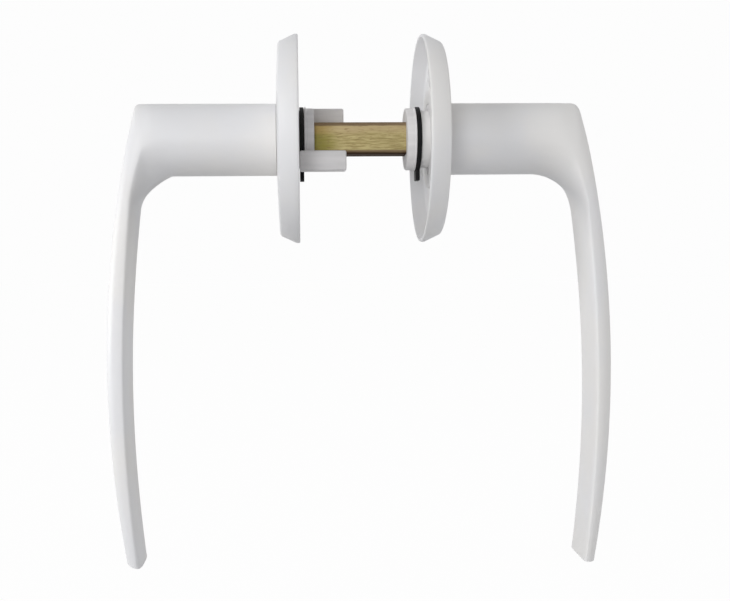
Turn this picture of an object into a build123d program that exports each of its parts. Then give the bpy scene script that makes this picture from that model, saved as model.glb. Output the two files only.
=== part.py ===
from build123d import *
from math import sqrt
import os

os.makedirs("parts", exist_ok=True)

# A pair of door levers on round roses. The left lever drives through a claw, the right one
# through a square bar that runs freely through the claw, so each lever turns by itself.
# Millimetres. X runs along the spindle, Z is up, and the levers hang down.
# The origin is on the spindle's axis, in the plane of the left rose's rim.
# Each half is drawn with its rose's rim at X = 0 and its lever on the +X side, then set in place.

# Square bar
bar_side = 8.0
bar_edge_radius = 0.8
bar_end_chamfer = 0.6
bar_reach_left = 14.0
bar_reach_right = 24.0
bar_end_gap = 0.5
bar_fit = 0.05
bar_turning_clearance = 0.22

# Distance between the rims of the two roses
rose_gap = 30.5

# Rose
rose_diameter = 52.0
rose_face_diameter = 48.2
rose_depth = 5.5
rose_edge_depth = 5.0
rose_dome_bulge = 0.1
rose_wall = 1.4
rose_corner_radius = 1.0
rose_rim_radius = 0.4
rose_rim_height = 0.9
hub_diameter = 25.0
hub_setback = 2.0
boss_diameter = 6.0
boss_spacing = 32.4
boss_setback = 2.6
screw_hole_diameter = 3.6
screw_head_diameter = 6.4
screw_head_angle = 90.0

# Bearing bush in the rose
bush_diameter = 17.4
bush_fit = 0.02
bush_edge_chamfer = 0.3

# Lever neck, and the spigot that passes through the rose
neck_diameter = 18.0
neck_clearance = 0.1
journal_diameter = 14.4
running_clearance = 0.05
spigot_diameter = 13.6
spigot_length = 3.0
left_bore_depth = 31.0
seat_clearance = 0.03

# Lever blade: its outer bow at the axis, half way and at the tip, and its thickness in those places
lever_projection = 48.75
outer_fall_top = 6.07
outer_fall_tip = 4.41
blade_thickness_top = 4.9
blade_thickness_middle = 5.4
blade_thickness_tip = 3.95
blade_reach = 107.5
blade_top_width = 17.8
blade_tip_width = 14.4
blade_tip_tilt = 0.5
blade_tip_edge = 0.4

# Section of the lever: where it is widest, as a share of its height, and how full its corners are.
# It changes from the neck's circle to the blade's D, and part of that change happens in the bend.
circle_belly = 0.5
circle_fullness = 0.5523
blade_belly = 0.19
blade_fullness = 0.95
crest_fullness = 0.46
crest_reach = 0.25
change_in_bend = 0.72
width_change_rate = 1.6
blade_change_rate = 4.0

# Bend between neck and blade: the web inside it, and the rounded top corner outside it.
# The web leaves the neck and joins the blade along handles, given as shares of its run and drop.
outer_lead = 6.0
outer_lead_fade = 3.0
corner_from = 0.44
corner_to = 0.56
left_web_run = 7.6
left_web_drop = 8.7
left_web_start = 0.12
left_web_end = 0.5
left_web_squareness = 1.6
left_corner_round = 1.0
right_web_run = 10.8
right_web_drop = 10.2
right_web_start = 0.55
right_web_end = 0.55
right_web_squareness = 1.0
right_corner_round = 1.9

# Places of the lofted sections, as shares of the bend and of the blade
neck_to_corner = (0, 0.15, 0.3, corner_from)
round_corner = (corner_from, 0.5, corner_to)
corner_to_blade = (corner_to, 0.7, 0.85, 1)
blade_places = (0, 0.12, 0.25, 0.5, 0.75, 1)

# Washer on the spigot, set a little way into the rose's back
washer_diameter = 16.2
washer_thickness = 1.65
washer_inset = 0.45
washer_tab_width = 4.0
washer_tab_reach = 10.5

# Collar on the spigot, plain on the right and with two prongs on the left
collar_diameter = 15.6
collar_length = 2.4
collar_gap = 0.15
collar_flange = 0.3
collar_flange_length = 0.4
collar_edge_radius = 0.4
bead_height = 0.3
bead_length = 0.7
key_width = 3.0
key_length = 1.2
prong_length = 11.5
prong_inner_y = 4.6
prong_outer_y = 10.0
prong_inner_z = 3.6
prong_outer_z = 8.5
prong_edge_radius = 0.5
prong_tip_radius = 0.45
prong_root_gap = 0.1

# Grub screw that clamps the bar in the right neck
grub_diameter = 6.0
grub_x = 15.0
grub_socket = 3.0
grub_socket_depth = 2.2
grub_below_surface = 0.5
grub_fit = 0.05

# Sizes that follow from those above
rose_radius = rose_diameter / 2
rose_face_radius = rose_face_diameter / 2
rose_hole_radius = bush_diameter / 2 + bush_fit
rose_floor = rose_edge_depth - rose_wall
neck_radius = neck_diameter / 2
neck_start = rose_depth + neck_clearance
spigot_radius = spigot_diameter / 2
spigot_hole_radius = spigot_radius + seat_clearance
bar_corner_radius = (bar_side / 2 - bar_edge_radius) * sqrt(2) + bar_edge_radius
bar_bore_radius = bar_corner_radius + bar_turning_clearance
washer_rear = washer_thickness - washer_inset
journal_start = washer_inset + seat_clearance
collar_front = washer_rear + collar_gap
collar_rear = collar_front + collar_length
bead_x = (collar_front + spigot_length) / 2
left_place = Location((0, 0, 0), (0, 0, 180))
right_place = Location((rose_gap, 0, 0))


def bow_at(z, top, middle, tip):
    """Distance from the door, at a height, of the bow through three places."""
    share = -z / blade_reach
    from_top = top * (1 - share) * (1 - 2 * share)
    from_middle = middle * 4 * share * (1 - share)
    from_tip = tip * share * (2 * share - 1)
    return from_top + from_middle + from_tip


def outer_bow_at(z):
    """Distance from the door of the blade's outer side, at a height."""
    return bow_at(z, lever_projection - outer_fall_top, lever_projection, lever_projection - outer_fall_tip)


def inner_bow_at(z):
    """Distance from the door of the blade's inner side, at a height."""
    return bow_at(
        z,
        lever_projection - outer_fall_top - blade_thickness_top,
        lever_projection - blade_thickness_middle,
        lever_projection - outer_fall_tip - blade_thickness_tip,
    )


def eased(start, end, share):
    """A value on its way from one to another, with a level start and end."""
    share = min(max(share, 0), 1)
    return start + (end - start) * share**2 * (3 - 2 * share)


def rose():
    """Round cover: domed face, slanted rim, open back with a hub and two screw bosses."""
    dome_middle = (
        (rose_depth + rose_edge_depth) / 2 + rose_dome_bulge,
        (rose_face_radius + rose_hole_radius) / 2,
    )
    dome_slope = (rose_depth - rose_edge_depth) / (rose_face_radius - rose_hole_radius)
    face_at_boss = rose_edge_depth + dome_slope * (rose_face_radius - boss_spacing / 2) + rose_dome_bulge
    with BuildPart() as piece:
        with BuildSketch(Plane.XZ) as section:
            with BuildLine():
                Polyline(
                    (rose_depth, rose_hole_radius),
                    (hub_setback, rose_hole_radius),
                    (hub_setback, hub_diameter / 2),
                    (rose_floor, hub_diameter / 2),
                    (rose_floor, rose_face_radius - rose_wall),
                    (0, rose_radius - rose_wall),
                    (0, rose_radius),
                    (rose_rim_height, rose_radius),
                    (rose_edge_depth, rose_face_radius),
                )
                ThreePointArc(
                    (rose_edge_depth, rose_face_radius), dome_middle, (rose_depth, rose_hole_radius)
                )
            make_face()
            fillet(section.vertices().group_by(Axis.X)[0], radius=rose_rim_radius)
            front_corner = Vector(rose_edge_depth, rose_face_radius)
            fillet(section.vertices().sort_by_distance(front_corner)[0], radius=rose_corner_radius)
        revolve(axis=Axis.X)
        with BuildSketch(Plane.YZ.offset(boss_setback)):
            with GridLocations(0, boss_spacing, 1, 2):
                Circle(boss_diameter / 2)
        extrude(amount=rose_floor + rose_wall / 2 - boss_setback)
        with Locations(Plane.YZ.offset(face_at_boss)):
            with GridLocations(0, boss_spacing, 1, 2):
                CounterSinkHole(
                    screw_hole_diameter / 2, screw_head_diameter / 2, face_at_boss, screw_head_angle
                )
    return piece.part


def bush():
    """Sleeve in the rose's hub that the lever's journal turns in."""
    with BuildPart() as piece:
        with BuildSketch(Plane.YZ.offset(hub_setback)):
            Circle(bush_diameter / 2)
            Circle(journal_diameter / 2 + running_clearance, mode=Mode.SUBTRACT)
        extrude(amount=rose_depth - hub_setback)
        chamfer(piece.edges().filter_by(GeomType.CIRCLE), length=bush_edge_chamfer)
    return piece.part


def washer():
    """Washer behind the rose, with a short tab pointing down."""
    with BuildPart() as piece:
        with BuildSketch(Plane.YZ.offset(-washer_rear)):
            Circle(washer_diameter / 2)
            with Locations((0, -washer_tab_reach / 2)):
                Rectangle(washer_tab_width, washer_tab_reach)
            Circle(spigot_hole_radius, mode=Mode.SUBTRACT)
        extrude(amount=washer_thickness)
    return piece.part


def lever_section(inner, outer, change, squareness=1, crest=0, inset=0):
    """Section between an inner and an outer point, from the neck's circle to the blade's D."""
    chord = outer - inner
    height = chord.length - 2 * inset
    down = max(-(inner.Z + outer.Z) / 2, 0) / blade_reach
    taper_width = blade_top_width + (blade_tip_width - blade_top_width) * down
    half_width = eased(neck_diameter, taper_width, change * width_change_rate) / 2 - inset
    belly = eased(circle_belly, blade_belly, change) * height
    inner_fullness = eased(circle_fullness, blade_fullness, change * squareness)
    outer_fullness = eased(circle_fullness, crest_fullness, crest)
    foot = inner + chord.normalized() * inset
    with BuildSketch(Plane(foot, x_dir=(0, 1, 0), z_dir=Vector(0, 1, 0).cross(chord))) as section:
        with BuildLine():
            for end, fullness in ((height, outer_fullness), (0, inner_fullness)):
                for edge in (half_width, -half_width):
                    Bezier(
                        (edge, belly),
                        (edge, belly + (end - belly) * fullness),
                        (edge * fullness, end),
                        (0, end),
                    )
        make_face()
    return section.sketch


def lever_stretches(web_run, web_drop, start_handle, end_handle, squareness, corner_round):
    """Sections along the lever, grouped in the stretches that are lofted one by one."""
    corner = Vector(outer_bow_at(neck_radius), 0, neck_radius)
    corner_start = corner - Vector(corner_round, 0, 0)
    below_corner = neck_radius - corner_round
    elbow = Vector(inner_bow_at(-neck_radius), 0, -neck_radius)
    web_start = elbow - Vector(web_run, 0, 0)
    web_end_z = -neck_radius - web_drop
    web_end = Vector(inner_bow_at(web_end_z), 0, web_end_z)
    first_handle = web_start + (elbow - web_start) * start_handle
    second_handle = web_end + (elbow - web_end) * end_handle
    with BuildLine():
        web = Bezier(web_start, first_handle, second_handle, web_end)
        crest = Bezier(corner_start, corner, (outer_bow_at(below_corner), 0, below_corner))

    def neck_at(x):
        return lever_section(Vector(x, 0, -neck_radius), Vector(x, 0, neck_radius), 0)

    def bend_at(share):
        if share < corner_from:
            run = corner_start.X - web_start.X
            outer = Vector(web_start.X + run * share / corner_from, 0, neck_radius)
        elif share <= corner_to:
            outer = crest @ ((share - corner_from) / (corner_to - corner_from))
        else:
            fall = web_end_z + outer_lead - below_corner
            z = below_corner + fall * (share - corner_to) / (1 - corner_to)
            outer = Vector(outer_bow_at(z), 0, z)
        near_crest = 1 - abs(share - 0.5) / crest_reach
        return lever_section(web @ share, outer, change_in_bend * share, squareness, near_crest)

    def blade_at(share, past=0):
        inner_z = web_end_z - (blade_reach + web_end_z) * share - past
        outer_z = inner_z + outer_lead * max(1 - outer_lead_fade * share, 0) ** 2 - blade_tip_tilt * share
        inner = Vector(inner_bow_at(inner_z), 0, inner_z)
        outer = Vector(outer_bow_at(outer_z), 0, outer_z)
        change = change_in_bend + (1 - change_in_bend) * min(blade_change_rate * share, 1)
        return lever_section(inner, outer, change, squareness, inset=past)

    return [
        [neck_at(neck_start), bend_at(0)],
        [bend_at(share) for share in neck_to_corner],
        [bend_at(share) for share in round_corner],
        [bend_at(share) for share in corner_to_blade],
        [blade_at(share) for share in blade_places],
        [blade_at(1), blade_at(1, blade_tip_edge)],
    ]


def lever_casting(*bend):
    """Lever: neck, bend and blade in one form, and the spigot with its snap groove."""
    with BuildPart() as piece:
        for stretch in lever_stretches(*bend):
            loft(stretch)
        with BuildSketch(Plane.YZ.offset(journal_start)):
            Circle(journal_diameter / 2)
        extrude(amount=neck_start - journal_start)
        with BuildSketch(Plane.YZ.offset(journal_start)):
            Circle(spigot_radius)
        extrude(amount=-spigot_length - journal_start)
        with BuildSketch(Plane.YZ.offset(-bead_x - bead_length / 2 - seat_clearance)):
            Circle(spigot_radius)
            Circle(spigot_radius - bead_height, mode=Mode.SUBTRACT)
        extrude(amount=bead_length + 2 * seat_clearance, mode=Mode.SUBTRACT)
    return piece.part


def collar():
    """Flanged ring that snaps on the spigot, closed at its rear by a thin end wall."""
    with BuildPart() as piece:
        with BuildSketch(Plane.YZ.offset(-collar_front)):
            Circle(collar_diameter / 2)
        extrude(amount=-collar_length)
        fillet(piece.edges().sort_by(Axis.X)[0], radius=collar_edge_radius)
        with BuildSketch(Plane.YZ.offset(-collar_front)):
            Circle(collar_diameter / 2 + collar_flange)
        extrude(amount=-collar_flange_length)
        with BuildSketch(Plane.YZ.offset(-collar_front)):
            Circle(spigot_hole_radius)
        extrude(amount=collar_front - spigot_length - seat_clearance, mode=Mode.SUBTRACT)
        with BuildSketch(Plane.YZ.offset(-bead_x - bead_length / 2)):
            Circle(spigot_hole_radius)
            Circle(spigot_hole_radius - bead_height, mode=Mode.SUBTRACT)
        extrude(amount=bead_length)
    return piece.part


# Roses, bushes and washers, the same on both sides
for side, place in (("left", left_place), ("right", right_place)):
    for name, shape in (("rose", rose()), ("bush", bush()), ("washer", washer())):
        with BuildPart() as piece:
            with Locations(place):
                add(shape)
        piece.part.label = f"{side}_{name}"
        export_step(piece.part, f"parts/{side}_{name}.step")

# Left lever: a round bore that the bar turns freely in, and slots for the claw's keys
with BuildPart() as left_half:
    add(
        lever_casting(
            left_web_run,
            left_web_drop,
            left_web_start,
            left_web_end,
            left_web_squareness,
            left_corner_round,
        )
    )
    with BuildSketch(Plane.YZ.offset(-spigot_length)):
        Circle(bar_bore_radius)
    extrude(amount=spigot_length + left_bore_depth, mode=Mode.SUBTRACT)
    with BuildSketch(Plane.YZ.offset(-spigot_length)):
        Rectangle(key_width + 2 * seat_clearance, neck_diameter)
    extrude(amount=key_length, mode=Mode.SUBTRACT)
with BuildPart() as left_lever:
    with Locations(left_place):
        add(left_half.part)
left_lever.part.label = "left_lever"
export_step(left_lever.part, "parts/left_lever.step")

# Left claw: the collar with two keys inside it and two prongs beside the bar
with BuildPart() as claw:
    with BuildSketch(Plane.YZ.offset(-prong_root_gap)):
        with PolarLocations(0, 2):
            with Locations(((prong_inner_y + prong_outer_y) / 2, -(prong_inner_z + prong_outer_z) / 2)):
                Rectangle(prong_outer_y - prong_inner_y, prong_outer_z - prong_inner_z)
    extrude(amount=prong_root_gap - prong_length)
    fillet(claw.edges().filter_by(Axis.X), radius=prong_edge_radius)
    fillet(claw.faces().group_by(Axis.X)[0].edges(), radius=prong_tip_radius)
    with BuildSketch(Plane.YZ):
        Circle(collar_diameter / 2 + collar_flange)
    extrude(amount=-spigot_length - seat_clearance, mode=Mode.SUBTRACT)
    add(collar())
    with BuildSketch(Plane.YZ.offset(-spigot_length - seat_clearance)):
        Rectangle(key_width, 2 * spigot_hole_radius)
        Circle(spigot_hole_radius, mode=Mode.INTERSECT)
    extrude(amount=key_length - seat_clearance)
    with BuildSketch(Plane.YZ):
        Circle(bar_bore_radius)
    extrude(amount=-collar_rear, mode=Mode.SUBTRACT)
with BuildPart() as left_claw:
    with Locations(left_place):
        add(claw.part)
left_claw.part.label = "left_claw"
export_step(left_claw.part, "parts/left_claw.step")

# Right lever: a square hole for the bar and a cross hole for the grub screw
with BuildPart() as right_half:
    add(
        lever_casting(
            right_web_run,
            right_web_drop,
            right_web_start,
            right_web_end,
            right_web_squareness,
            right_corner_round,
        )
    )
    with BuildSketch(Plane.YZ.offset(-spigot_length)):
        Rectangle(bar_side + 2 * bar_fit, bar_side + 2 * bar_fit)
    extrude(amount=spigot_length + bar_reach_right + bar_end_gap, mode=Mode.SUBTRACT)
    with BuildSketch(Plane.XZ):
        with Locations((grub_x, 0)):
            Circle(grub_diameter / 2 + grub_fit)
    extrude(amount=-neck_diameter, mode=Mode.SUBTRACT)
with BuildPart() as right_lever:
    with Locations(right_place):
        add(right_half.part)
right_lever.part.label = "right_lever"
export_step(right_lever.part, "parts/right_lever.step")

# Right collar: the plain collar with a square hole in its end wall
with BuildPart() as right_collar:
    with Locations(right_place):
        add(collar())
    with BuildSketch(Plane.YZ):
        Rectangle(bar_side + 2 * bar_fit, bar_side + 2 * bar_fit)
    extrude(amount=rose_gap, mode=Mode.SUBTRACT)
right_collar.part.label = "right_collar"
export_step(right_collar.part, "parts/right_collar.step")

# Square bar, clamped in the right lever and free in the left one
with BuildPart() as spindle:
    with BuildSketch(Plane.YZ.offset(-bar_reach_left)):
        RectangleRounded(bar_side, bar_side, bar_edge_radius)
    extrude(amount=bar_reach_left + rose_gap + bar_reach_right)
    end_faces = spindle.faces().sort_by(Axis.X)
    chamfer(end_faces[0].edges() + end_faces[-1].edges(), length=bar_end_chamfer)
spindle.part.label = "spindle"
export_step(spindle.part, "parts/spindle.step")

# Grub screw behind the right neck, with its point on the bar and a hexagon socket outside
with BuildPart() as right_grub_screw:
    with BuildSketch(Plane.XZ.offset(grub_below_surface - neck_radius)):
        with Locations((rose_gap + grub_x, 0)):
            Circle(grub_diameter / 2)
    extrude(amount=neck_radius - grub_below_surface - bar_side / 2 - seat_clearance)
    with BuildSketch(Plane.XZ.offset(grub_below_surface - neck_radius)):
        with Locations((rose_gap + grub_x, 0)):
            RegularPolygon(grub_socket / 2, 6, major_radius=False)
    extrude(amount=grub_socket_depth, mode=Mode.SUBTRACT)
right_grub_screw.part.label = "right_grub_screw"
export_step(right_grub_screw.part, "parts/right_grub_screw.step")
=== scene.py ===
# %% [markdown]
# # A pair of door levers on a split spindle
# The frame holds every solid of the handle at its real size, in metres. X runs along the spindle, Z
# is up, and the levers hang down. This lesson dresses that frame: each visible piece gets a smooth
# mesh and a finish, and nothing is moved from where the frame has it. The solids could be painted as
# they are, but their flat facets would show in the gloss, so each piece is drawn again, and finer.

# %% Load the frame
from math import cos, pi, radians, sin, sqrt, tan, tau

import bmesh
import bpy
from mathutils import Matrix, Vector


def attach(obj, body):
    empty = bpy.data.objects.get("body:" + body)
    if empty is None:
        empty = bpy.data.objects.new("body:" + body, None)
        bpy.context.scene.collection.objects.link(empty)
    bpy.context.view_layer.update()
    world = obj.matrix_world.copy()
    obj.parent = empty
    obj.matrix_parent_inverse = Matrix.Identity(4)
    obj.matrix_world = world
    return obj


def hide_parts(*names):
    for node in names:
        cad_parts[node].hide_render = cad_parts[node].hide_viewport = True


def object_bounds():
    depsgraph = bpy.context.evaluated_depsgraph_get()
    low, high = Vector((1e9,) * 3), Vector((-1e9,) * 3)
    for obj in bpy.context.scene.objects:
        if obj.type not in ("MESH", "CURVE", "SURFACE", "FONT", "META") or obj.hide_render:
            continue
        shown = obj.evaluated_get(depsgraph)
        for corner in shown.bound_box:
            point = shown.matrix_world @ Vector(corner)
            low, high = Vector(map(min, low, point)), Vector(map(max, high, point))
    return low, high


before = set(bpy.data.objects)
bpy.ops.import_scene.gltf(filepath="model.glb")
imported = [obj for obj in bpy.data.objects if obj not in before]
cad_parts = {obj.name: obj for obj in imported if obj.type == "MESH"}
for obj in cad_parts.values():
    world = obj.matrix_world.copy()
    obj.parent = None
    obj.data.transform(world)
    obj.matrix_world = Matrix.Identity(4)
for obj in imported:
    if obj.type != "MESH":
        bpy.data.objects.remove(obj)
cad_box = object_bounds()
scene = bpy.context.scene
MM = 0.001
print("nodes", sorted(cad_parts))

# %% [markdown]
# The camera stands where the picture was taken: in front of the spindle, a little below it, looking
# slightly to the right. It could be set by eye, but a handle is all long edges, and a small error
# shows along every one of them. So its place came from fitting the edges of the roses, necks and
# levers to those of the picture.

# %% Camera
image_width = 730
focal_length_px = 1079.88
camera_place = Vector((-0.27, -274.47, -29.63)) * MM
camera_yaw = 0.0601
camera_pitch = -0.0406
camera_roll = -0.0107
nearest_seen = 10 * MM

looking = Vector((
    sin(camera_yaw) * cos(camera_pitch),
    cos(camera_yaw) * cos(camera_pitch),
    sin(camera_pitch),
))
level_right = Vector((cos(camera_yaw), -sin(camera_yaw), 0))
level_up = level_right.cross(looking)
camera_right = cos(camera_roll) * level_right + sin(camera_roll) * level_up
camera_up = cos(camera_roll) * level_up - sin(camera_roll) * level_right
camera_turn = Matrix((camera_right, camera_up, -looking)).transposed().to_4x4()

camera_data = bpy.data.cameras.new("camera")
camera_data.lens = focal_length_px / image_width * camera_data.sensor_width
camera_data.clip_start = nearest_seen
camera = bpy.data.objects.new("camera", camera_data)
camera.matrix_world = Matrix.Translation(camera_place) @ camera_turn
scene.collection.objects.link(camera)
scene.camera = camera
scene.view_settings.view_transform = "Standard"
print("lens", round(camera_data.lens, 2), "mm")

# %% [markdown]
# Shaders are sums. Adding every node by hand takes several lines and hides the sum, so this small
# class wraps a node's socket: a finish can then be written as `1 - mask` or `grain * 0.2`, and each
# such sum adds its Math nodes. Any other node comes from `add`, which sets the node's settings first
# and then its sockets. The Geometry Nodes tree further on is written with the same class.


# %% Shader sums
class Wire:
    """A socket in a node tree that can stand in a sum."""

    def __init__(self, tree, socket=None):
        self.tree = tree
        self.socket = socket

    def add(self, kind, settings=(), sockets=(), output=0):
        """A new node: its settings first, then the values or links of its sockets."""
        node = self.tree.nodes.new(kind)
        for name, value in dict(settings).items():
            setattr(node, name, value)
        for key, value in dict(sockets).items():
            if isinstance(value, Wire):
                self.tree.links.new(value.socket, node.inputs[key])
            else:
                node.inputs[key].default_value = value
        return Wire(self.tree, node.outputs[output] if node.outputs else None)

    def maths(self, operation, first, second=0):
        """A Math node on one or two values."""
        return self.add("ShaderNodeMath", {"operation": operation}, {0: first, 1: second})

    def __add__(self, other):
        return self.maths("ADD", self, other)

    __radd__ = __add__

    def __sub__(self, other):
        return self.maths("SUBTRACT", self, other)

    def __rsub__(self, other):
        return self.maths("SUBTRACT", other, self)

    def __mul__(self, other):
        return self.maths("MULTIPLY", self, other)

    __rmul__ = __mul__

    def __truediv__(self, other):
        return self.maths("DIVIDE", self, other)

    def __rtruediv__(self, other):
        return self.maths("DIVIDE", other, self)

    def __gt__(self, other):
        return self.maths("GREATER_THAN", self, other)


def new_tree(owner):
    """An empty node tree for a material or a world."""
    owner.use_nodes = True
    owner.node_tree.nodes.clear()
    return Wire(owner.node_tree)


# %% [markdown]
# The light is a plain studio. A sheet bright enough to look white behind the handle would also wash
# out the white levers. So the world gives a pale fill from all round, and only rays from the camera,
# reflections and rays through glass see it as white. The white then shows behind the handle and in
# its gloss, and adds nothing to the fill.

# %% Fill light and white backdrop
white = (1, 1, 1, 1)
backdrop_white = 0.982
fill_strength = 0.37


def backdrop_rays(sheet):
    """1 on rays that should see the white backdrop: from the camera, a gloss or through glass."""
    outputs = sheet.add("ShaderNodeLightPath").socket.node.outputs
    kinds = ("Camera", "Glossy", "Transmission")
    rays = [Wire(sheet.tree, outputs[f"Is {kind} Ray"]) for kind in kinds]
    return sheet.maths("MINIMUM", rays[0] + rays[1] + rays[2], 1.0)


studio = bpy.data.worlds.new("studio")
scene.world = studio
sheet = new_tree(studio)
fill = sheet.add("ShaderNodeBackground", {}, {"Color": white, "Strength": fill_strength})
backdrop = sheet.add("ShaderNodeBackground", {}, {"Color": white, "Strength": backdrop_white})
both = sheet.add("ShaderNodeMixShader", {}, {0: backdrop_rays(sheet), 1: fill, 2: backdrop})
sheet.add("ShaderNodeOutputWorld", {}, {0: both})
print("fill", fill_strength, "and backdrop", backdrop_white)

# %% [markdown]
# Four soft lamps shape the white. The key lamp is high on the left in front, far enough round that
# the right rose throws a soft shadow along the right neck. The side lamp stands behind on the left,
# level with the bar, and reaches into the hollow of the right rose. The front lamp opens the shadows,
# and the right lamp lights the outside of the right blade. Their strengths could be tried by hand for
# hours; each lamp was rendered alone instead, and the pictures were weighed against each other until
# the tones of the levers and roses came out right.

# %% Lamps
lamp_target = Vector((15, 0, -25)) * MM
lamps = {
    "key_lamp": {"place": (-660, -430, 300), "size": 300, "watts": 2.45},
    "side_lamp": {"place": (-760, 480, -10), "size": 200, "watts": 1.65},
    "front_lamp": {"place": (-200, -780, 60), "size": 300, "watts": 1.8},
    "right_lamp": {"place": (850, -150, 50), "size": 400, "watts": 1.3},
}
for name, lamp in lamps.items():
    lamp_data = bpy.data.lights.new(name, "AREA")
    lamp_data.shape = "DISK"
    lamp_data.size = lamp["size"] * MM
    lamp_data.energy = lamp["watts"]
    lamp_place = Vector(lamp["place"]) * MM
    aim = (lamp_target - lamp_place).to_track_quat("-Z", "Y").to_matrix().to_4x4()
    lamp_object = bpy.data.objects.new(name, lamp_data)
    lamp_object.matrix_world = Matrix.Translation(lamp_place) @ aim
    scene.collection.objects.link(lamp_object)
    print(name, round((lamp_target - lamp_place).length / MM), "mm away")

# %% [markdown]
# The floor lies a little way under the lever tips. It is pale and matt and takes the handle's shadow.
# A curved sweep would hide the horizon too, but one flat sheet is enough here: for the camera it is
# lifted most of the way to the backdrop's white.

# %% Floor
floor_drop = 18 * MM
floor_half = 4000 * MM
floor_lift = 0.97
floor_grey = 0.65

floor_z = cad_box[0].z - floor_drop
floor_sides = ((-1, -1), (1, -1), (1, 1), (-1, 1))
floor_corners = [(x * floor_half, y * floor_half, floor_z) for x, y in floor_sides]
floor_mesh = bpy.data.meshes.new("floor")
floor_mesh.from_pydata(floor_corners, [], [(0, 1, 2, 3)])
floor = bpy.data.objects.new("floor", floor_mesh)
scene.collection.objects.link(floor)

floor_paper = bpy.data.materials.new("floor_paper")
sheet = new_tree(floor_paper)
matt = sheet.add("ShaderNodeBsdfDiffuse", {}, {"Color": (floor_grey, floor_grey, floor_grey, 1)})
lift_strength = (backdrop_white - (1 - floor_lift) * floor_grey * fill_strength) / floor_lift
lift = sheet.add("ShaderNodeEmission", {}, {"Color": white, "Strength": lift_strength})
both = sheet.add("ShaderNodeMixShader", {}, {0: floor_lift * backdrop_rays(sheet), 1: matt, 2: lift})
sheet.add("ShaderNodeOutputMaterial", {}, {0: both})
floor_mesh.materials.append(floor_paper)
print("floor at z", round(floor_z / MM, 1), "mm")

# %% [markdown]
# ## Skinning by rule
# Every piece here is drawn the same way: a row of stations, each one a flat closed section, and a
# skin over them. A section hangs between an inner and an outer point of the X-Z plane and swells to
# a half width along Y. Where the widest place lies, and how square each side is, is the rest of its
# rule: a circle has it in the middle, a bar is square, and a lever's blade is round outside and flat
# inside. Python loops over vertices could do it, but the rule is the same for every piece, so it
# lives in one Geometry Nodes tree. A grid gets a row for each station and a column for each point
# around, and its last column lands on its first, so that the seam closes.


# %% The skin tree
def geometry_tree(name, inputs):
    """A Geometry Nodes tree with named inputs; returns it with a wire for each input."""
    tree = bpy.data.node_groups.new(name, "GeometryNodeTree")
    tree.interface.new_socket("Geometry", in_out="INPUT", socket_type="NodeSocketGeometry")
    for label, kind in inputs.items():
        tree.interface.new_socket(label, in_out="INPUT", socket_type=kind)
    tree.interface.new_socket("Geometry", in_out="OUTPUT", socket_type="NodeSocketGeometry")
    group_input = tree.nodes.new("NodeGroupInput")
    return tree, {socket.name: Wire(tree, socket) for socket in group_input.outputs if socket.name}


skin_inputs = {"Points around": "NodeSocketInt", "Material": "NodeSocketMaterial"}
skin, given = geometry_tree("skin", skin_inputs)
stations = given["Geometry"]
around = given["Points around"]
columns = around + 1
station_count = stations.add("GeometryNodeAttributeDomainSize", {"component": "MESH"}, {0: stations})
grid = stations.add("GeometryNodeMeshGrid", {}, {"Vertices X": station_count, "Vertices Y": columns})
index = stations.add("GeometryNodeInputIndex")
# The half step keeps a rounding error from moving a point to the row before.
half_step = 0.5
station = stations.maths("FLOOR", (index + half_step) / columns)
column = index - station * columns
turn = stations.maths("MODULO", column, around) / around * tau
print("skin inputs:", ", ".join(given))

# %% [markdown]
# Each point now looks up its own station's values. A circle is a cosine across and a sine along its
# chord. Both are raised to 2 / power here: a power of 2 leaves the circle, a higher one pushes it out
# to a square, and a lower one draws it in to a ridge. The inner and the outer side of a section may
# have different powers.


# %% The section's rule
def at_station(label, data_type="FLOAT"):
    """The value of a named attribute at this point's station."""
    stored = stations.add("GeometryNodeInputNamedAttribute", {"data_type": data_type}, {"Name": label})
    settings = {"data_type": data_type, "domain": "POINT"}
    return stations.add("GeometryNodeSampleIndex", settings, {0: stations, 1: stored, 2: station})


def vector_maths(operation, first, second):
    """A Vector Math node on two vectors."""
    return stations.add("ShaderNodeVectorMath", {"operation": operation}, {0: first, 1: second})


inner_point = at_station("inner", "FLOAT_VECTOR")
outer_point = at_station("outer", "FLOAT_VECTOR")
belly = at_station("belly")
across = stations.maths("COSINE", turn)
along = stations.maths("SINE", turn)
outside = along > 0
power = outside * at_station("outer_power") + (1 - outside) * at_station("inner_power")
reach = outside * (1 - belly) + (1 - outside) * belly


def swollen(value):
    """A sine or cosine raised to 2 / power, with its sign kept."""
    size = stations.maths("POWER", stations.maths("ABSOLUTE", value), 2 / power)
    return stations.maths("SIGN", value) * size


share = belly + reach * swollen(along)
chord = vector_maths("SUBTRACT", outer_point, inner_point)
lifted = stations.add("ShaderNodeVectorMath", {"operation": "SCALE"}, {0: chord, "Scale": share})
sideways = stations.add("ShaderNodeCombineXYZ", {}, {"Y": at_station("half_width") * swollen(across)})
place = vector_maths("ADD", inner_point, vector_maths("ADD", lifted, sideways))

# %% [markdown]
# The grid's points move to their places, and a merge over a tiny distance closes the seam and the
# ends. The tree ends in Realize Instances and Set Material, so that what comes out is a plain mesh
# with its finish on it.

# %% The end of the skin tree
seam_weld = 0.00001 * MM

skinned = stations.add("GeometryNodeSetPosition", {}, {"Geometry": grid, "Position": place})
closed = stations.add("GeometryNodeMergeByDistance", {}, {"Geometry": skinned, "Distance": seam_weld})
smooth = stations.add("GeometryNodeSetShadeSmooth", {}, {"Geometry": closed})
real = stations.add("GeometryNodeRealizeInstances", {}, {"Geometry": smooth})
painted = stations.add("GeometryNodeSetMaterial", {}, {"Geometry": real, "Material": given["Material"]})
stations.add("NodeGroupOutput", {}, {0: painted})
print("skin tree", len(skin.nodes), "nodes")

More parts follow.
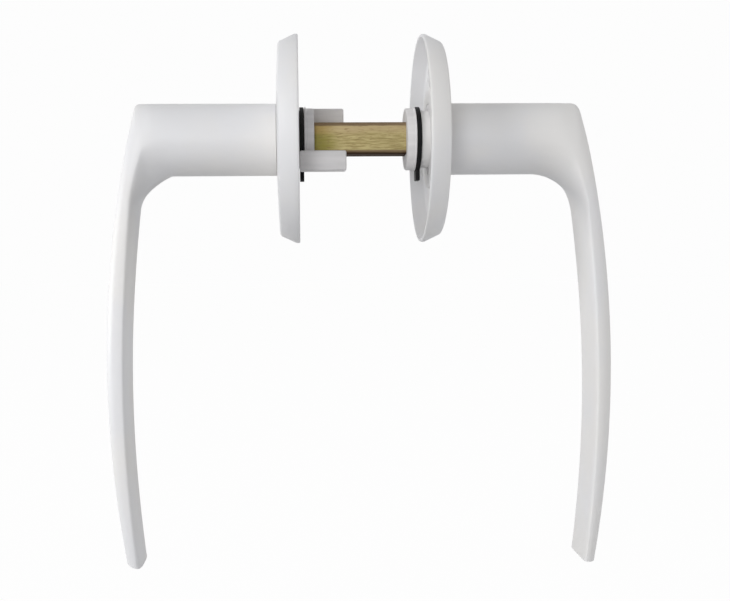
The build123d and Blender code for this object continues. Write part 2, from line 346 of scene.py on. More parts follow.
# %% [markdown]
# Helpers write the commonest stations: a ring round the spindle's axis, and a polyline of rings whose
# corners are rounded, which is how anything turned on a lathe starts. A Bevel modifier could round
# the corners afterwards, but here each corner has a radius of its own.

# %% Stations
round_power = 2.0
round_belly = 0.5


def ring(x, radius, power=round_power):
    """A round station about the spindle's axis, or a squarer one with a higher power."""
    return {
        "inner": (x, 0, -radius), "outer": (x, 0, radius), "half_width": radius,
        "belly": round_belly, "inner_power": power, "outer_power": power,
    }


def rounded(corners, closed=False, steps=6):
    """Points along corners (x, r, rounding), each rounded corner drawn as an arc."""
    line = []
    for i, (x, r, rounding) in enumerate(corners):
        here = Vector((x, r))
        if not rounding:
            line.append(here)
            continue
        back = (Vector(corners[i - 1][:2]) - here).normalized()
        ahead = (Vector(corners[(i + 1) % len(corners)][:2]) - here).normalized()
        half = back.angle(ahead) / 2
        centre = here + (back + ahead).normalized() * rounding / sin(half)
        start = here + back * rounding / tan(half) - centre
        end = here + ahead * rounding / tan(half) - centre
        sweep = pi - 2 * half
        for k in range(steps + 1):
            part = k / steps
            arm = start * sin((1 - part) * sweep) + end * sin(part * sweep)
            line.append(centre + arm / sin(sweep))
    return line + line[:1] if closed else line


def turned(corners, closed=False):
    """Stations of a piece turned on a lathe, from the corners of its section."""
    return [ring(x, r) for x, r in rounded(corners, closed)]


# %% [markdown]
# `grow` hangs the rule on a row of stations, evaluates it once and keeps the plain mesh that comes
# out. The stations travel as named attributes of bare points, because a tree reads those directly.


# %% Growing a mesh
def grow(name, rows, points_around, slot):
    """The plain mesh, in metres, that the skin rule makes over stations in millimetres."""
    base = bpy.data.meshes.new(name + "_stations")
    base.from_pydata([(0, 0, 0)] * len(rows), [], [])
    for label in rows[0]:
        kind = "FLOAT_VECTOR" if label in ("inner", "outer") else "FLOAT"
        layer = base.attributes.new(label, kind, "POINT")
        for item, row in zip(layer.data, rows):
            if kind == "FLOAT_VECTOR":
                item.vector = Vector(row[label]) * MM
            else:
                item.value = row[label] * (MM if label == "half_width" else 1)
    grower = bpy.data.objects.new(name + "_stations", base)
    scene.collection.objects.link(grower)
    rule = grower.modifiers.new("skin", "NODES")
    rule.node_group = skin
    inputs = {item.name: item.identifier for item in skin.interface.items_tree if item.in_out == "INPUT"}
    rule[inputs["Points around"]] = points_around
    rule[inputs["Material"]] = finishes[slot]
    ready = grower.evaluated_get(bpy.context.evaluated_depsgraph_get())
    mesh = bpy.data.meshes.new_from_object(ready)
    mesh.name = name
    bpy.data.objects.remove(grower)
    bpy.data.meshes.remove(base)
    return mesh


# %% [markdown]
# Screw holes, bosses, tabs and prongs lie beside the spindle's axis or across it, and a row of stations
# along the piece can't give them. So they are grown by themselves and cut or joined with a Boolean
# step. Both meshes are welded and turned outward first, because a Boolean needs closed shells that
# know their inside.

# %% Welding and combining
weld = 0.0002 * MM


def outward(mesh):
    """Weld a mesh shut and turn its faces outward; returns how many edges stay open."""
    work = bmesh.new()
    work.from_mesh(mesh)
    bmesh.ops.remove_doubles(work, verts=work.verts, dist=weld)
    bmesh.ops.dissolve_degenerate(work, edges=work.edges, dist=weld)
    bmesh.ops.recalc_face_normals(work, faces=work.faces)
    open_edges = sum(len(edge.link_faces) != 2 for edge in work.edges)
    work.to_mesh(mesh)
    work.free()
    return open_edges


def combine(mesh, tool_mesh, operation):
    """A mesh with another joined to it (UNION) or taken from it (DIFFERENCE)."""
    target = bpy.data.objects.new("target", mesh)
    tool = bpy.data.objects.new("tool", tool_mesh)
    for item in (target, tool):
        scene.collection.objects.link(item)
        outward(item.data)
    step = target.modifiers.new("combine", "BOOLEAN")
    step.operation = operation
    step.solver = "EXACT"
    step.object = tool
    ready = target.evaluated_get(bpy.context.evaluated_depsgraph_get())
    result = bpy.data.meshes.new_from_object(ready)
    for item in (target, tool):
        bpy.data.objects.remove(item)
    return result


# %% [markdown]
# A mesh becomes a piece of the handle when it is set in its place, rides its body and stands in for
# the frame's solid of the same name. Both halves are drawn with the rose's rim at X = 0 and the lever
# on the plus side; the left half is turned round and the right one moved along. A mirror would give
# the left half too, but it turns a mesh inside out.

# %% Setting pieces
rose_gap = 30.5
halves = {
    "left": Matrix.Rotation(pi, 4, "Z"),
    "right": Matrix.Translation((rose_gap * MM, 0, 0)),
}
crease = radians(38)


def set_piece(node, body, mesh, place):
    """Make a mesh the visible piece for one node of the frame."""
    open_edges = outward(mesh)
    mesh.transform(place)
    mesh.shade_smooth()
    mesh.set_sharp_from_angle(angle=crease)
    mesh.name = node + "_skin"
    piece = bpy.data.objects.new(node + "_skin", mesh)
    scene.collection.objects.link(piece)
    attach(piece, body)
    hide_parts(node)
    print(node, len(mesh.polygons), "faces,", open_edges, "open edges")


print("rims", rose_gap, "mm apart")

# %% [markdown]
# ## Finishes
# Five finishes dress the handle. A picture of each could be wrapped round the pieces, but it would
# stretch over the bends. So each finish is noise on the piece's own Object coordinates, which are
# metres: a noise scale of 1000 has patches about a millimetre across, on every piece alike.

# %% Finish helpers
finishes = {}


def start_finish(slot):
    """A new material with its tree and the Object coordinates."""
    finishes[slot] = bpy.data.materials.new(slot)
    sheet = new_tree(finishes[slot])
    print("finish", slot)
    return sheet, sheet.add("ShaderNodeTexCoord", output=3)


def noise(at, scale, detail=2.0, stretch=1.0):
    """Noise between 0 and 1, in patches of 1 / scale metres, drawn out along X by a low stretch."""
    spread = at.add("ShaderNodeMapping", {}, {"Vector": at, "Scale": (stretch, 1, 1)})
    return at.add("ShaderNodeTexNoise", {}, {"Vector": spread, "Scale": scale, "Detail": detail})


def ramp(value, low, high, start=0.0, end=1.0):
    """Value carried smoothly from low..high to start..end."""
    sockets = {0: value, 1: low, 2: high, 3: start, 4: end}
    return value.add("ShaderNodeMapRange", {"interpolation_type": "SMOOTHSTEP"}, sockets)


def wander(value, grain, amount):
    """A value that a noise pushes to and fro by up to half the amount."""
    return value + amount * (grain - 0.5)


def blend(share, first, second):
    """A colour between two colours."""
    colours = [item if isinstance(item, Wire) else (*item, 1) for item in (first, second)]
    sockets = {0: share, 6: colours[0], 7: colours[1]}
    return share.add("ShaderNodeMix", {"data_type": "RGBA"}, sockets, output=2)


def end_finish(sheet, colour, roughness, height, depth, metallic=0.0, specular=0.5):
    """Close a finish with its colour, its roughness and the height of its grain."""
    normal = sheet.add("ShaderNodeBump", {}, {"Strength": 1.0, "Distance": depth, "Height": height})
    sockets = {
        "Base Color": colour, "Roughness": roughness, "Normal": normal,
        "Metallic": metallic, "Specular IOR Level": specular,
    }
    surface = sheet.add("ShaderNodeBsdfPrincipled", {}, sockets)
    sheet.add("ShaderNodeOutputMaterial", {}, {0: surface})


# %% [markdown]
# The levers and roses are powder coated: dust is sprayed on and melted, so the coat keeps a shallow
# orange peel of one to two millimetres, with a much finer grain on it, and its white drifts a little
# where the film is thin. One noise for each of the three is enough, as the coat is smooth from a step
# away.

# %% White powder coat
coat_cool = (0.770, 0.772, 0.790)
coat_warm = (0.795, 0.786, 0.778)
film_scale = 45
peel_scale = 900
dust_scale = 7000
peel_depth = 0.012 * MM

sheet, at = start_finish("white_coat")
film = ramp(noise(at, film_scale, 3), 0.35, 0.65)
peel = noise(at, peel_scale, 1)
dust = noise(at, dust_scale)
coat_roughness = 0.44 + 0.10 * dust + 0.05 * film
end_finish(sheet, blend(film, coat_cool, coat_warm), coat_roughness, peel + 0.12 * dust, peel_depth)

# %% [markdown]
# The claw, the collar and the bushes are moulded in nylon. Its skin is matt from the mould's
# spark-eroded walls, and faint flow lines run along the prongs, the way the melt went. Drawing the
# noise out along X gives those lines without a texture of its own for every piece.

# %% White nylon
nylon_light = (0.790, 0.775, 0.780)
nylon_dark = (0.715, 0.702, 0.708)
flow_scale = 600
flow_stretch = 0.12
spark_scale = 5200
spark_depth = 0.010 * MM

sheet, at = start_finish("white_nylon")
flow = noise(at, flow_scale, stretch=flow_stretch)
spark = noise(at, spark_scale)
nylon_tone = blend(ramp(flow, 0.3, 0.7), nylon_dark, nylon_light)
end_finish(sheet, nylon_tone, 0.46 + 0.14 * spark, spark + 0.3 * flow, spark_depth)

# %% [markdown]
# The washers are stamped from black sheet: nearly black, matt, with dusty scuffs. Plain black would
# read as a hole, so the scuffs are a little paler and rougher.

# %% Black washer
washer_black = (0.004, 0.004, 0.005)
washer_scuff = (0.016, 0.015, 0.015)
scuff_scale = 900
sheet_grain_scale = 3500
sheet_grain_depth = 0.012 * MM

sheet, at = start_finish("black_washer")
scuff = ramp(noise(at, scuff_scale, 4), 0.52, 0.75)
washer_tone = blend(scuff, washer_black, washer_scuff)
sheet_grain = noise(at, sheet_grain_scale, 3)
end_finish(sheet, washer_tone, 0.55 + 0.25 * scuff, sheet_grain, sheet_grain_depth, specular=0.15)

# %% [markdown]
# The bar is cold-drawn steel, zinc plated and passivated yellow. Drawing leaves short streaks along
# it. The passivate is a thin film that shifts from straw to a pinkish brown high up on the faces, and
# near the claw to amber above and olive below. The four long edges and the underside are painted
# darker and browner, and shine less: this is painted shade, where they turn away from the lamps. Each
# of these is a mask of its own, laid over the tone before it, so that one can change and leave the
# rest alone.

# %% Yellow zinc
straw_dark = (0.265, 0.212, 0.090)
straw_pale = (0.445, 0.375, 0.185)
film_olive = (0.225, 0.200, 0.045)
film_amber = (0.330, 0.232, 0.082)
film_pink = (0.415, 0.322, 0.180)
dash_brown = (0.200, 0.135, 0.065)
# The next two colours are painted shade: the long edges and the underside of the bar darkened as if out of
# the light.
edge_shade_brown = (0.235, 0.165, 0.100)
underside_shade_brown = (0.045, 0.024, 0.012)
streak_scale = 2700
streak_depth = 0.009 * MM
dash_scale = 3200
drift_scale = 260

bar_side = 8.0
bar_half = bar_side / 2
claw_end_x = (11.0, 5.0)
olive_z = (2.4, 0.2)
pink_z = (0.8, 3.0)
# Where the painted shade lies: near the four long edges, and low on the bar.
edge_shade_from_axis = (bar_half - 1.15, bar_half - 0.75)
underside_shade_z = (0.8 - bar_half, 0.2 - bar_half)

sheet, at = start_finish("yellow_zinc")
axes = at.add("ShaderNodeSeparateXYZ", {}, {0: at}).socket.node.outputs
along_bar, depth_y, height_z = (Wire(at.tree, axes[name]) / MM for name in ("X", "Y", "Z"))
streak = noise(at, streak_scale, 4, stretch=0.12)
drift = noise(at, drift_scale, stretch=0.4)
dashes = ramp(noise(at, dash_scale, 3, stretch=0.2), 0.56, 0.68)
from_axis = at.maths("MINIMUM", at.maths("ABSOLUTE", depth_y), at.maths("ABSOLUTE", height_z))

# %% [markdown]
# The masks wander a little with the drift, or with the streaks at the edges, so that none of their
# borders runs in a straight line.

# %% Film and painted shade of the bar
claw_end = ramp(wander(along_bar, drift, 5.0), *claw_end_x, 0.0, 0.85)
low = ramp(wander(height_z, drift, 3.0), *olive_z)
pink = ramp(wander(height_z, drift, 4.0), *pink_z, 0.0, 0.8)
# Painted shade along the four long edges.
edge = ramp(wander(from_axis, streak, 0.4), *edge_shade_from_axis)
# Painted shade under the bar.
underside_shade = ramp(wander(height_z, drift, 0.6), *underside_shade_z)

tone = blend(ramp(streak, 0.30, 0.70), straw_dark, straw_pale)
tone = blend(pink * (1 - claw_end), tone, film_pink)
tone = blend(claw_end, tone, blend(low, film_amber, film_olive))
tone = blend(0.55 * dashes, tone, dash_brown)
# Painted shade laid over the film: darker, browner long edges.
tone = blend(0.9 * edge, tone, edge_shade_brown)
# Painted shade: a dark brown underside.
tone = blend(underside_shade, tone, underside_shade_brown)
# Where the painted shade lies the bar is rougher and less metallic, so it shines less there.
outside_painted_shade = (1 - 0.8 * edge) * (1 - underside_shade)
bar_roughness = 0.62 + 0.16 * streak - 0.24 * outside_painted_shade
end_finish(sheet, tone, bar_roughness, streak, streak_depth, metallic=0.5 * outside_painted_shade, specular=0.05)
print("bar finish", len(sheet.tree.nodes), "nodes")

# %% [markdown]
# The grub screw is hardened and black from an oxide bath, with a little oil left in its skin. The oil
# pools in patches, which are greyer and shine more than the dry oxide round them.

# %% Black steel
oxide_dark = (0.014, 0.014, 0.016)
oxide_grey = (0.050, 0.048, 0.046)
oil_scale = 800
oxide_scale = 4200
oxide_depth = 0.008 * MM

sheet, at = start_finish("black_steel")
oil = ramp(noise(at, oil_scale, 3), 0.4, 0.65)
oxide_tone = blend(oil, oxide_dark, oxide_grey)
end_finish(sheet, oxide_tone, 0.50 - 0.18 * oil, noise(at, oxide_scale), oxide_depth, metallic=0.8)

# %% [markdown]
# ## The levers
# A lever of this kind is cast in a light alloy, as one piece from its bore to its tip, then ground
# and powder coated. A box model under a Subdivision Surface could come close, but its edges would
# drift off the real ones. Here the skin follows two rails in the X-Z plane instead. The outer rail
# runs along the top of the neck, turns the corner and comes down the outside of the blade; the inner
# rail runs along the underside, through the web in the corner, and down the inside. Each rail of the
# blade is a bow, a parabola through three places: the axis, half way down and the tip.

# %% Lever rails
neck_radius = 9.0
lever_projection = 48.75
blade_reach = 107.5
outer_fall_top = 6.07
outer_fall_tip = 4.41
thickness_top = 4.9
thickness_middle = 5.4
thickness_tip = 3.95


def bow(top, middle, tip):
    """X along a bow at height z, from its X at the axis, half way down and at the tip."""

    def at_height(z):
        share = -z / blade_reach
        ends = top * (1 - share) * (1 - 2 * share) + tip * share * (2 * share - 1)
        return ends + 4 * middle * share * (1 - share)

    return at_height


outer_top = lever_projection - outer_fall_top
outer_tip = lever_projection - outer_fall_tip
outer_bow = bow(outer_top, lever_projection, outer_tip)
inner_bow = bow(outer_top - thickness_top, lever_projection - thickness_middle, outer_tip - thickness_tip)
print("top corner at x", round(outer_bow(neck_radius), 2))

# %% [markdown]
# Between the rails each section changes from the neck's circle to the blade's D. Its belly is the
# share of the way from the inner to the outer rail where it is widest: half way in the circle, close
# to the inner rail in the D. Its inner power says how square the inner side is: 2 is round, 4 is
# nearly flat with close corners, and below 2 it draws in to a ridge, as the left lever's underside
# does in its bend. Where the neck turns the top corner, the outer side has a crest of the same kind.
# Most of the change is done in the bend, and the inner side goes square only in its later part.

# %% Lever sections
blade_half_top = 8.9
blade_half_tip = 7.2
blade_belly = 0.19
blade_power = 4.2
crest_power = 1.66
change_in_bend = 0.72
square_from = 0.40
widening = 1.6


def eased(start, end, share):
    """A value on its way from one to another, with a level start and end."""
    share = min(max(share, 0.0), 1.0)
    return start + (end - start) * share * share * (3 - 2 * share)


def lever_station(inner, outer, change, web, crest=0.0):
    """A section between two rail points, from the neck's circle (0) to the blade's D (1)."""
    down = max(-(inner.y + outer.y) / 2, 0) / blade_reach
    taper = blade_half_top + (blade_half_tip - blade_half_top) * down
    facet = eased(round_power, web["facet"], change / square_from)
    return {
        "inner": (inner.x, 0, inner.y),
        "outer": (outer.x, 0, outer.y),
        "half_width": eased(neck_radius, taper, change * widening),
        "belly": eased(round_belly, blade_belly, change / change_in_bend * web["belly"]),
        "inner_power": eased(facet, blade_power, (change - square_from) / (1 - square_from)),
        "outer_power": eased(round_power, crest_power, crest),
    }


print("blade", 2 * blade_half_top, "mm wide at its top,", 2 * blade_half_tip, "mm at its tip")

# %% [markdown]
# The two levers differ in the bend: the left web is nearly straight under a tight top corner, the
# right one is a long arc under a rounder corner. The web is one Bezier arc from the underside of the
# neck to the inside of the blade, and its start and end say how far its handles reach to the elbow,
# where the two lines would meet. Meanwhile the outer rail runs to the top corner, which is a short
# Bezier of its own, and then comes down the bow, a little behind the inner one.

# %% Bend
webs = {
    "left": {
        "run": 7.6, "drop": 8.7, "start": 0.12, "end": 0.50,
        "facet": 1.65, "belly": 0.62, "corner": 1.0,
    },
    "right": {
        "run": 10.8, "drop": 10.2, "start": 0.55, "end": 0.55,
        "facet": 2.0, "belly": 0.95, "corner": 1.9,
    },
}
outer_lag = 6.0
corner_from = 0.44
corner_to = 0.56
crest_at = 0.5
crest_reach = 0.25


def bezier(points, share):
    """A point on the Bezier curve of any number of points."""
    while len(points) > 1:
        points = [a.lerp(b, share) for a, b in zip(points, points[1:])]
    return points[0]


def bend_stations(web, steps=60):
    """Stations from the end of the straight neck, round the bend, to the start of the blade."""
    corner = Vector((outer_bow(neck_radius), neck_radius))
    below = neck_radius - web["corner"]
    crest = [corner - Vector((web["corner"], 0)), corner, Vector((outer_bow(below), below))]
    elbow = Vector((inner_bow(-neck_radius), -neck_radius))
    start = elbow - Vector((web["run"], 0))
    end_z = -neck_radius - web["drop"]
    end = Vector((inner_bow(end_z), end_z))
    arc = [start, start.lerp(elbow, web["start"]), end.lerp(elbow, web["end"]), end]
    rows = []
    for k in range(steps + 1):
        share = k / steps
        if share < corner_from:
            outer = Vector((start.x, neck_radius)).lerp(crest[0], share / corner_from)
        elif share < corner_to:
            outer = bezier(crest, (share - corner_from) / (corner_to - corner_from))
        else:
            z = below + (end_z + outer_lag - below) * (share - corner_to) / (1 - corner_to)
            outer = Vector((outer_bow(z), z))
        near_crest = 1 - abs(share - crest_at) / crest_reach
        rows.append(lever_station(bezier(arc, share), outer, change_in_bend * share, web, near_crest))
    return rows


for side, web in webs.items():
    print(side, "bend starts at x", round(bend_stations(web)[0]["outer"][0], 2))

# %% [markdown]
# Down the blade the sections finish their change to the D, the outer rail catches up, and the width
# tapers. The tips differ a little: the left one is shorter, with its outer corner lifted and rounded
# and a softer section, and the right one is cut nearly square. A cap with a bevel could close a tip;
# here the last section steps in along a quarter round and then shrinks to its middle, so that the
# skin stays one piece.

# %% Blade and tip
tips = {
    "left": {"lift": 0.9, "tilt": -1.3, "rounding": 0.9, "belly": 0.36, "power": 3.0},
    "right": {"lift": 0.0, "tilt": 0.5, "rounding": 0.4, "belly": blade_belly, "power": blade_power},
}
catch_up_rate = 3
change_rate = 4
tilt_sharpness = 4
softening_sharpness = 6


def blade_stations(web, tip, steps=60):
    """Stations down the blade to its tip."""
    top = -neck_radius - web["drop"]
    rows = []
    for k in range(1, steps + 1):
        share = k / steps
        lag = outer_lag * max(1 - catch_up_rate * share, 0) ** 2
        inner_z = top - (blade_reach - tip["lift"] + top) * share
        outer_z = inner_z + lag - tip["tilt"] * share**tilt_sharpness
        inner = Vector((inner_bow(inner_z), inner_z))
        outer = Vector((outer_bow(outer_z), outer_z))
        change = change_in_bend + (1 - change_in_bend) * min(change_rate * share, 1)
        row = lever_station(inner, outer, change, web)
        near_tip = share**softening_sharpness
        row["belly"] += (tip["belly"] - row["belly"]) * near_tip
        row["inner_power"] += (tip["power"] - row["inner_power"]) * near_tip
        rows.append(row)
    return rows


def tip_stations(last, rounding, steps=5):
    """Stations that round the tip's edge and close the tip in its middle."""
    inner, outer = Vector(last["inner"]), Vector(last["outer"])
    across = (outer - inner).normalized()
    ahead = across.cross(Vector((0, 1, 0)))
    rows = []
    for k in range(1, steps + 1):
        turn = k / steps * pi / 2
        inset = rounding * (1 - cos(turn))
        move = ahead * rounding * sin(turn)
        moved = {"inner": inner + across * inset + move, "outer": outer - across * inset + move}
        rows.append({**last, **moved, "half_width": last["half_width"] - inset})
    middle = (rows[-1]["inner"] + rows[-1]["outer"]) / 2
    return rows + [{**rows[-1], "inner": middle, "outer": middle, "half_width": 0}]


for side, tip in tips.items():
    print(side, "blade ends at z", round(blade_stations(webs[side], tip)[-1]["inner"][2], 2))

# %% [markdown]
# At the other end the same skin goes on: over the neck's shoulder, the journal that turns in the
# rose, the spigot that the collar snaps on, and into the bore, which is round on the left, where the
# bar turns freely, and square on the right, where the bar is clamped. The bore could be cut with a
# Boolean step, but a skin that turns in at the spigot's end is cleaner.

# %% Lever bodies
rose_depth = 5.5
neck_gap = 0.1
neck_start = rose_depth + neck_gap
neck_edge = 0.12
journal_radius = 7.2
journal_edge = 0.2
washer_inset = -0.15
washer_play = 0.03
journal_start = washer_inset + washer_play
spigot_radius = 6.8
spigot_length = 3.0
spigot_edge = 0.3
inside_corner = 0.1
bore_lip = 0.2
left_bore_radius = 5.545
bar_fit = 0.05
square_half = bar_half + bar_fit
square_power = 30.0
bores = {
    "left": {
        "half": left_bore_radius, "depth": 31.0, "power": round_power, "mouth": left_bore_radius + bore_lip,
    },
    "right": {"half": square_half, "depth": 24.5, "power": square_power, "mouth": 5.9},
}
lever_around = 96


def shank_stations(bore, neck_end):
    """Stations from the bottom of the bore, out of it and along the spigot, journal and neck."""
    outside = turned([
        (-spigot_length, bore["mouth"], 0),
        (-spigot_length, spigot_radius, spigot_edge),
        (journal_start, spigot_radius, inside_corner),
        (journal_start, journal_radius, journal_edge),
        (neck_start, journal_radius, inside_corner),
        (neck_start, neck_radius, neck_edge),
        (neck_end, neck_radius, 0),
    ])
    ends = ((bore["depth"], 0), (bore["depth"], bore["half"]), (-spigot_length + bore_lip, bore["half"]))
    return [ring(x, half, bore["power"]) for x, half in ends] + outside[:-1]


def lever_mesh(side):
    """One casting, from the bottom of its bore to its tip."""
    bend = bend_stations(webs[side])
    blade = blade_stations(webs[side], tips[side])
    shank = shank_stations(bores[side], bend[0]["outer"][0])
    tip = tip_stations(blade[-1], tips[side]["rounding"])
    return grow(side + "_lever", shank + bend + blade + tip, lever_around, "white_coat")


set_piece("left_lever", "left_lever", lever_mesh("left"), halves["left"])

# %% [markdown]
# A grub screw clamps the bar in the right neck. Its hole is drilled across the neck on the side away
# from the camera, and the screw sits in it with a hexagon socket outside. All three are pins grown
# along X and then turned to point along Y, and six points around make the hexagon. A thread would be
# hidden in the hole, so the pin stays plain.

# %% Grub screw and its hole
grub_x = 15.0
grub_radius = 3.0
grub_fit = 0.05
grub_outer = 8.5
grub_inner = 4.03
grub_chamfer = 0.3
hole_bottom = 1.0
hole_top = neck_radius + 3.0
socket_flats = 3.0
socket_depth = 2.2
socket_top = grub_outer + 1.0
pin_around = 64
crosswise = Matrix.Translation((grub_x * MM, 0, 0)) @ Matrix.Rotation(pi / 2, 4, "Z")


def plug(name, start, end, radius, points_around, slot, edge=0.0):
    """A closed pin along X with chamfered ends."""
    rows = [ring(start, 0), ring(start, radius - edge), ring(start + edge, radius)]
    rows += [ring(end - edge, radius), ring(end, radius - edge), ring(end, 0)]
    return grow(name, rows, points_around, slot)


hole = plug("hole", hole_bottom, hole_top, grub_radius + grub_fit, pin_around, "white_coat")
hole.transform(crosswise)
drilled = combine(lever_mesh("right"), hole, "DIFFERENCE")
set_piece("right_lever", "right_lever", drilled, halves["right"])

grub = plug("grub", grub_inner, grub_outer, grub_radius, pin_around, "black_steel", edge=grub_chamfer)
socket_radius = socket_flats / sqrt(3)
socket = plug("socket", grub_outer - socket_depth, socket_top, socket_radius, 6, "black_steel")
grub = combine(grub, socket, "DIFFERENCE")
grub.transform(crosswise)
set_piece("right_grub_screw", "right_lever", grub, halves["right"])

# %% [markdown]
# ## The roses
# A rose is the round cover on the door. This one is a die casting with a slanted wall, a thin rim and
# a slightly domed face, hollow behind. Its section is a closed loop turned about the spindle: the
# hole with its hub, the floor, the wall, the rim, and the dome back to the hole. A Screw modifier
# would turn it as well, but the skin already does. Two bosses inside carry the countersunk holes.

# %% Rose section
rose_radius = 26.0
rose_face_radius = 24.1
rose_edge_depth = 5.0
rose_bulge = 0.1
rose_wall = 1.4
rose_floor = rose_edge_depth - rose_wall
rose_rim_width = 0.75
rose_rim_height = 0.9
rose_hole_radius = 8.72
hub_radius = 12.5
hub_setback = 2.0
edges = {
    "hole_front": 0.15, "hole_back": 0.3, "hub": 0.6, "floor": 1.2,
    "rim_inside": 0.2, "rim_outside": 0.35, "face": 1.0,
}


def dome(share):
    """A corner of the domed face, from its rounded edge (0) to the hole (1)."""
    rise = (rose_depth - rose_edge_depth) * share + 4 * rose_bulge * share * (1 - share)
    return (rose_edge_depth + rise, rose_face_radius + (rose_hole_radius - rose_face_radius) * share, 0)


rose_loop = [
    (rose_depth, rose_hole_radius, edges["hole_front"]),
    (hub_setback, rose_hole_radius, edges["hole_back"]),
    (hub_setback, hub_radius, edges["hub"]),
    (rose_floor, hub_radius, edges["hub"]),
    (rose_floor, rose_face_radius - rose_wall, edges["floor"]),
    (0, rose_radius - rose_rim_width, edges["rim_inside"]),
    (0, rose_radius, edges["rim_outside"]),
    (rose_rim_height, rose_radius, 0),
    (rose_edge_depth, rose_face_radius, edges["face"]),
    dome(0.25), dome(0.5), dome(0.75),
]
print("rose section", len(rounded(rose_loop)), "points")

# %% [markdown]
# The bosses are stubs on the floor of the rose, above and below the hole, and each is drilled and
# countersunk from the face. They are turned about the spindle's axis too and then lifted to their
# places, so that one loop makes both.

# %% Roses
rose_around = 160
boss_around = 48
boss_radius = 3.0
boss_setback = 2.6
boss_edge = 0.4
boss_root = rose_floor + 0.6
boss_drop = 16.2
screw_radius = 1.8
screw_back = -1.0
head_radius = 3.2
head_overrun = 0.5


def rose_mesh(side):
    """The turned rose with its two bosses joined and their screw holes cut."""
    mesh = grow(side + "_rose", turned(rose_loop, closed=True), rose_around, "white_coat")
    face_x = dome((rose_face_radius - boss_drop) / (rose_face_radius - rose_hole_radius))[0]
    head_x = face_x + head_overrun
    stub = [(boss_root, 0, 0), (boss_root, boss_radius, 0), (boss_setback, boss_radius, boss_edge)]
    drill = [(screw_back, 0, 0), (screw_back, screw_radius, 0)]
    drill += [(face_x - head_radius + screw_radius, screw_radius, 0)]
    drill += [(head_x, head_radius + head_overrun, 0), (head_x, 0, 0)]
    for height in (-boss_drop, boss_drop):
        lift = Matrix.Translation((0, 0, height * MM))
        boss = grow("boss", turned(stub + [(boss_setback, 0, 0)]), boss_around, "white_coat")
        screw = grow("screw", turned(drill), boss_around, "white_coat")
        boss.transform(lift)
        screw.transform(lift)
        mesh = combine(combine(mesh, boss, "UNION"), screw, "DIFFERENCE")
    return mesh


for side, place in halves.items():
    set_piece(side + "_rose", side + "_rose", rose_mesh(side), place)

# %% [markdown]
# Washer tabs and claw prongs are flat bars with soft edges. A cube with a Bevel would do, but the
# skin gives one too: a row of square sections that step in over a quarter round at both ends.

# %% Rounded block
block_power = 12.0
block_around = 64


def block(name, start, end, low, high, half_width, edge, slot):
    """A bar along X between two heights, with rounded edges, centred on Y = 0."""
    middle = (low + high) / 2
    rows = []
    for x, r in rounded([(start, 0, 0), (start, 1, edge), (end, 1, edge), (end, 0, 0)]):
        inset = 1 - r
        rows.append({
            **ring(x, 0, block_power),
            "inner": (x, 0, low + inset if r else middle),
            "outer": (x, 0, high - inset if r else middle),
            "half_width": half_width - inset if r else 0,
        })
    return grow(name, rows, block_around, slot)


# %% [markdown]
# A nylon bush lines each rose's hole, and the lever's journal turns in it. Behind the rose a black
# washer sits on the spigot, with a short tab that points down. Both are closed loops turned about
# the spindle, and the tab is a block joined on.

# %% Bushes and washers
bush_radius = 8.7
bush_hole = 7.25
bush_chamfer = 0.3
bush_around = 96
washer_rear = 1.2
washer_radius = 8.1
washer_edge = 0.15
washer_hole = 6.83
washer_hole_edge = 0.05
washer_around = 128
tab_half = 2.0
tab_root = -washer_hole - 0.3
tab_end = -10.5
tab_edge = 0.12
sleeve = [
    (hub_setback, bush_hole, bush_chamfer), (rose_depth, bush_hole, bush_chamfer),
    (rose_depth, bush_radius, bush_chamfer), (hub_setback, bush_radius, bush_chamfer),
]
disc = [
    (washer_inset, washer_hole, washer_hole_edge), (-washer_rear, washer_hole, washer_hole_edge),
    (-washer_rear, washer_radius, washer_edge), (washer_inset, washer_radius, washer_edge),
]

for side, place in halves.items():
    bush = grow("bush", turned(sleeve, closed=True), bush_around, "white_nylon")
    set_piece(side + "_bush", side + "_rose", bush, place)
    tab = block("tab", -washer_rear, washer_inset, tab_end, tab_root, tab_half, tab_edge, "black_washer")
    washer = grow("washer", turned(disc, closed=True), washer_around, "black_washer")
    washer = combine(washer, tab, "UNION")
    set_piece(side + "_washer", side + "_lever", washer, place)

# %% [markdown]
# ## Collar, claw and bar
# On the right a plain nylon collar snaps on the spigot: a cup with a thin end wall, a small flange
# and a bead inside. The bar passes through a square hole in the wall. On the left the same cup has a
# round hole, so that the bar turns freely. One function makes both cups, because only the hole
# differs.

# %% Cup and collar
collar_front = -1.35
collar_rear = -3.75
collar_radius = 7.8
collar_edge = 0.4
flange_radius = collar_radius + 0.3
flange_rear = collar_front - 0.4
flange_edge = 0.1
seat_radius = 6.83
seat_edge = 0.05
wall_front = -3.03
wall_margin = 1.0
bead_radius = seat_radius - 0.3
bead_edge = 0.1
bead_from = -1.825
bead_to = -2.525
cup_around = 128


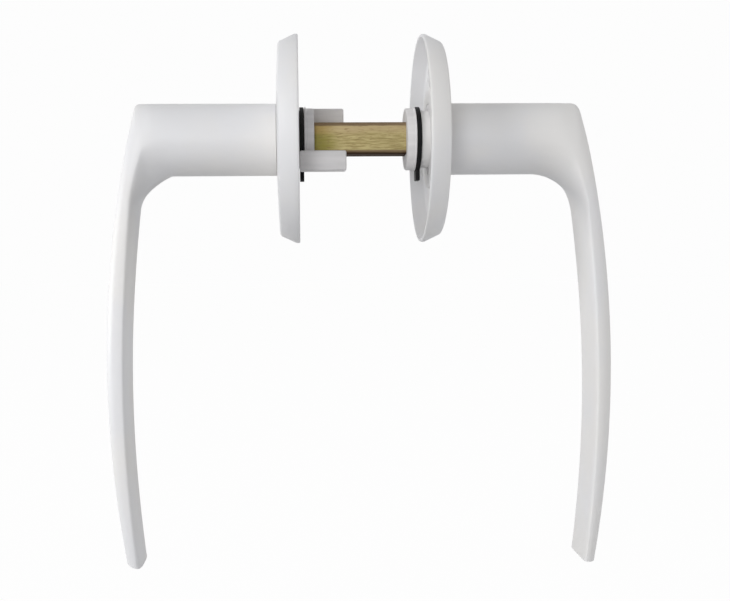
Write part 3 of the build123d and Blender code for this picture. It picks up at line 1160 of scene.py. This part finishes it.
def cup(name, hole_half, hole_power):
    """The collar's cup, from the hole in its end wall, over the seat and the outside, and back."""
    outside = turned([
        (wall_front, seat_radius, 0), (bead_to, seat_radius, 0),
        (bead_to, bead_radius, bead_edge), (bead_from, bead_radius, bead_edge),
        (bead_from, seat_radius, 0), (collar_front, seat_radius, seat_edge),
        (collar_front, flange_radius, flange_edge), (flange_rear, flange_radius, flange_edge),
        (flange_rear, collar_radius, flange_edge), (collar_rear, collar_radius, collar_edge),
        (collar_rear, hole_half + wall_margin, 0),
    ])
    hole = [ring(x, hole_half, hole_power) for x in (collar_rear, wall_front)]
    return grow(name, outside[:-1] + hole + outside[:1], cup_around, "white_nylon")


collar = cup("collar", square_half, square_power)
set_piece("right_collar", "right_lever", collar, halves["right"])

# %% [markdown]
# The claw has two prongs on its cup that reach into the lock beside the bar, one below it in front
# and one above it behind. The mould makes cup and prongs in one shot, so they are joined to one mesh.
# Each prong is first cut free of the cup's inside, where the spigot sits.

# %% Claw
prong_tip = -11.5
prong_root = -0.1
prong_middle_y = 7.3
prong_half = 2.7
prong_low = -8.5
prong_high = -3.6
prong_edge = 0.45
clear_radius = collar_radius - 0.15
clear_end = 1.0

claw = cup("claw", left_bore_radius, round_power)
for turn in (0, pi):
    prong = block(
        "prong", prong_tip, prong_root, prong_low, prong_high, prong_half, prong_edge, "white_nylon"
    )
    prong.transform(Matrix.Rotation(turn, 4, "X") @ Matrix.Translation((0, prong_middle_y * MM, 0)))
    clear = plug("clear", wall_front, clear_end, clear_radius, cup_around, "white_nylon")
    claw = combine(claw, combine(prong, clear, "DIFFERENCE"), "UNION")
set_piece("left_claw", "left_lever", claw, halves["left"])

# %% [markdown]
# The bar itself is a square section with rounded edges, drawn long and chamfered at both ends. It is
# clamped in the right lever and ends inside the left one. Its square is a ring of high power, so its
# edges are as round as a drawn bar's.

# %% Bar
bar_left = -14.0
bar_right = rose_gap + 24.0
bar_chamfer = 0.6
bar_power = 11.5
bar_around = 96
bar_end = ((bar_left, 0), (bar_left, bar_half - bar_chamfer), (bar_left + bar_chamfer, bar_half))
bar_rows = [ring(x, half, bar_power) for x, half in bar_end]
bar_rows += [ring(bar_right + bar_left - x, half, bar_power) for x, half in reversed(bar_end)]
bar = grow("bar", bar_rows, bar_around, "yellow_zinc")
set_piece("spindle", "right_lever", bar, Matrix.Identity(4))
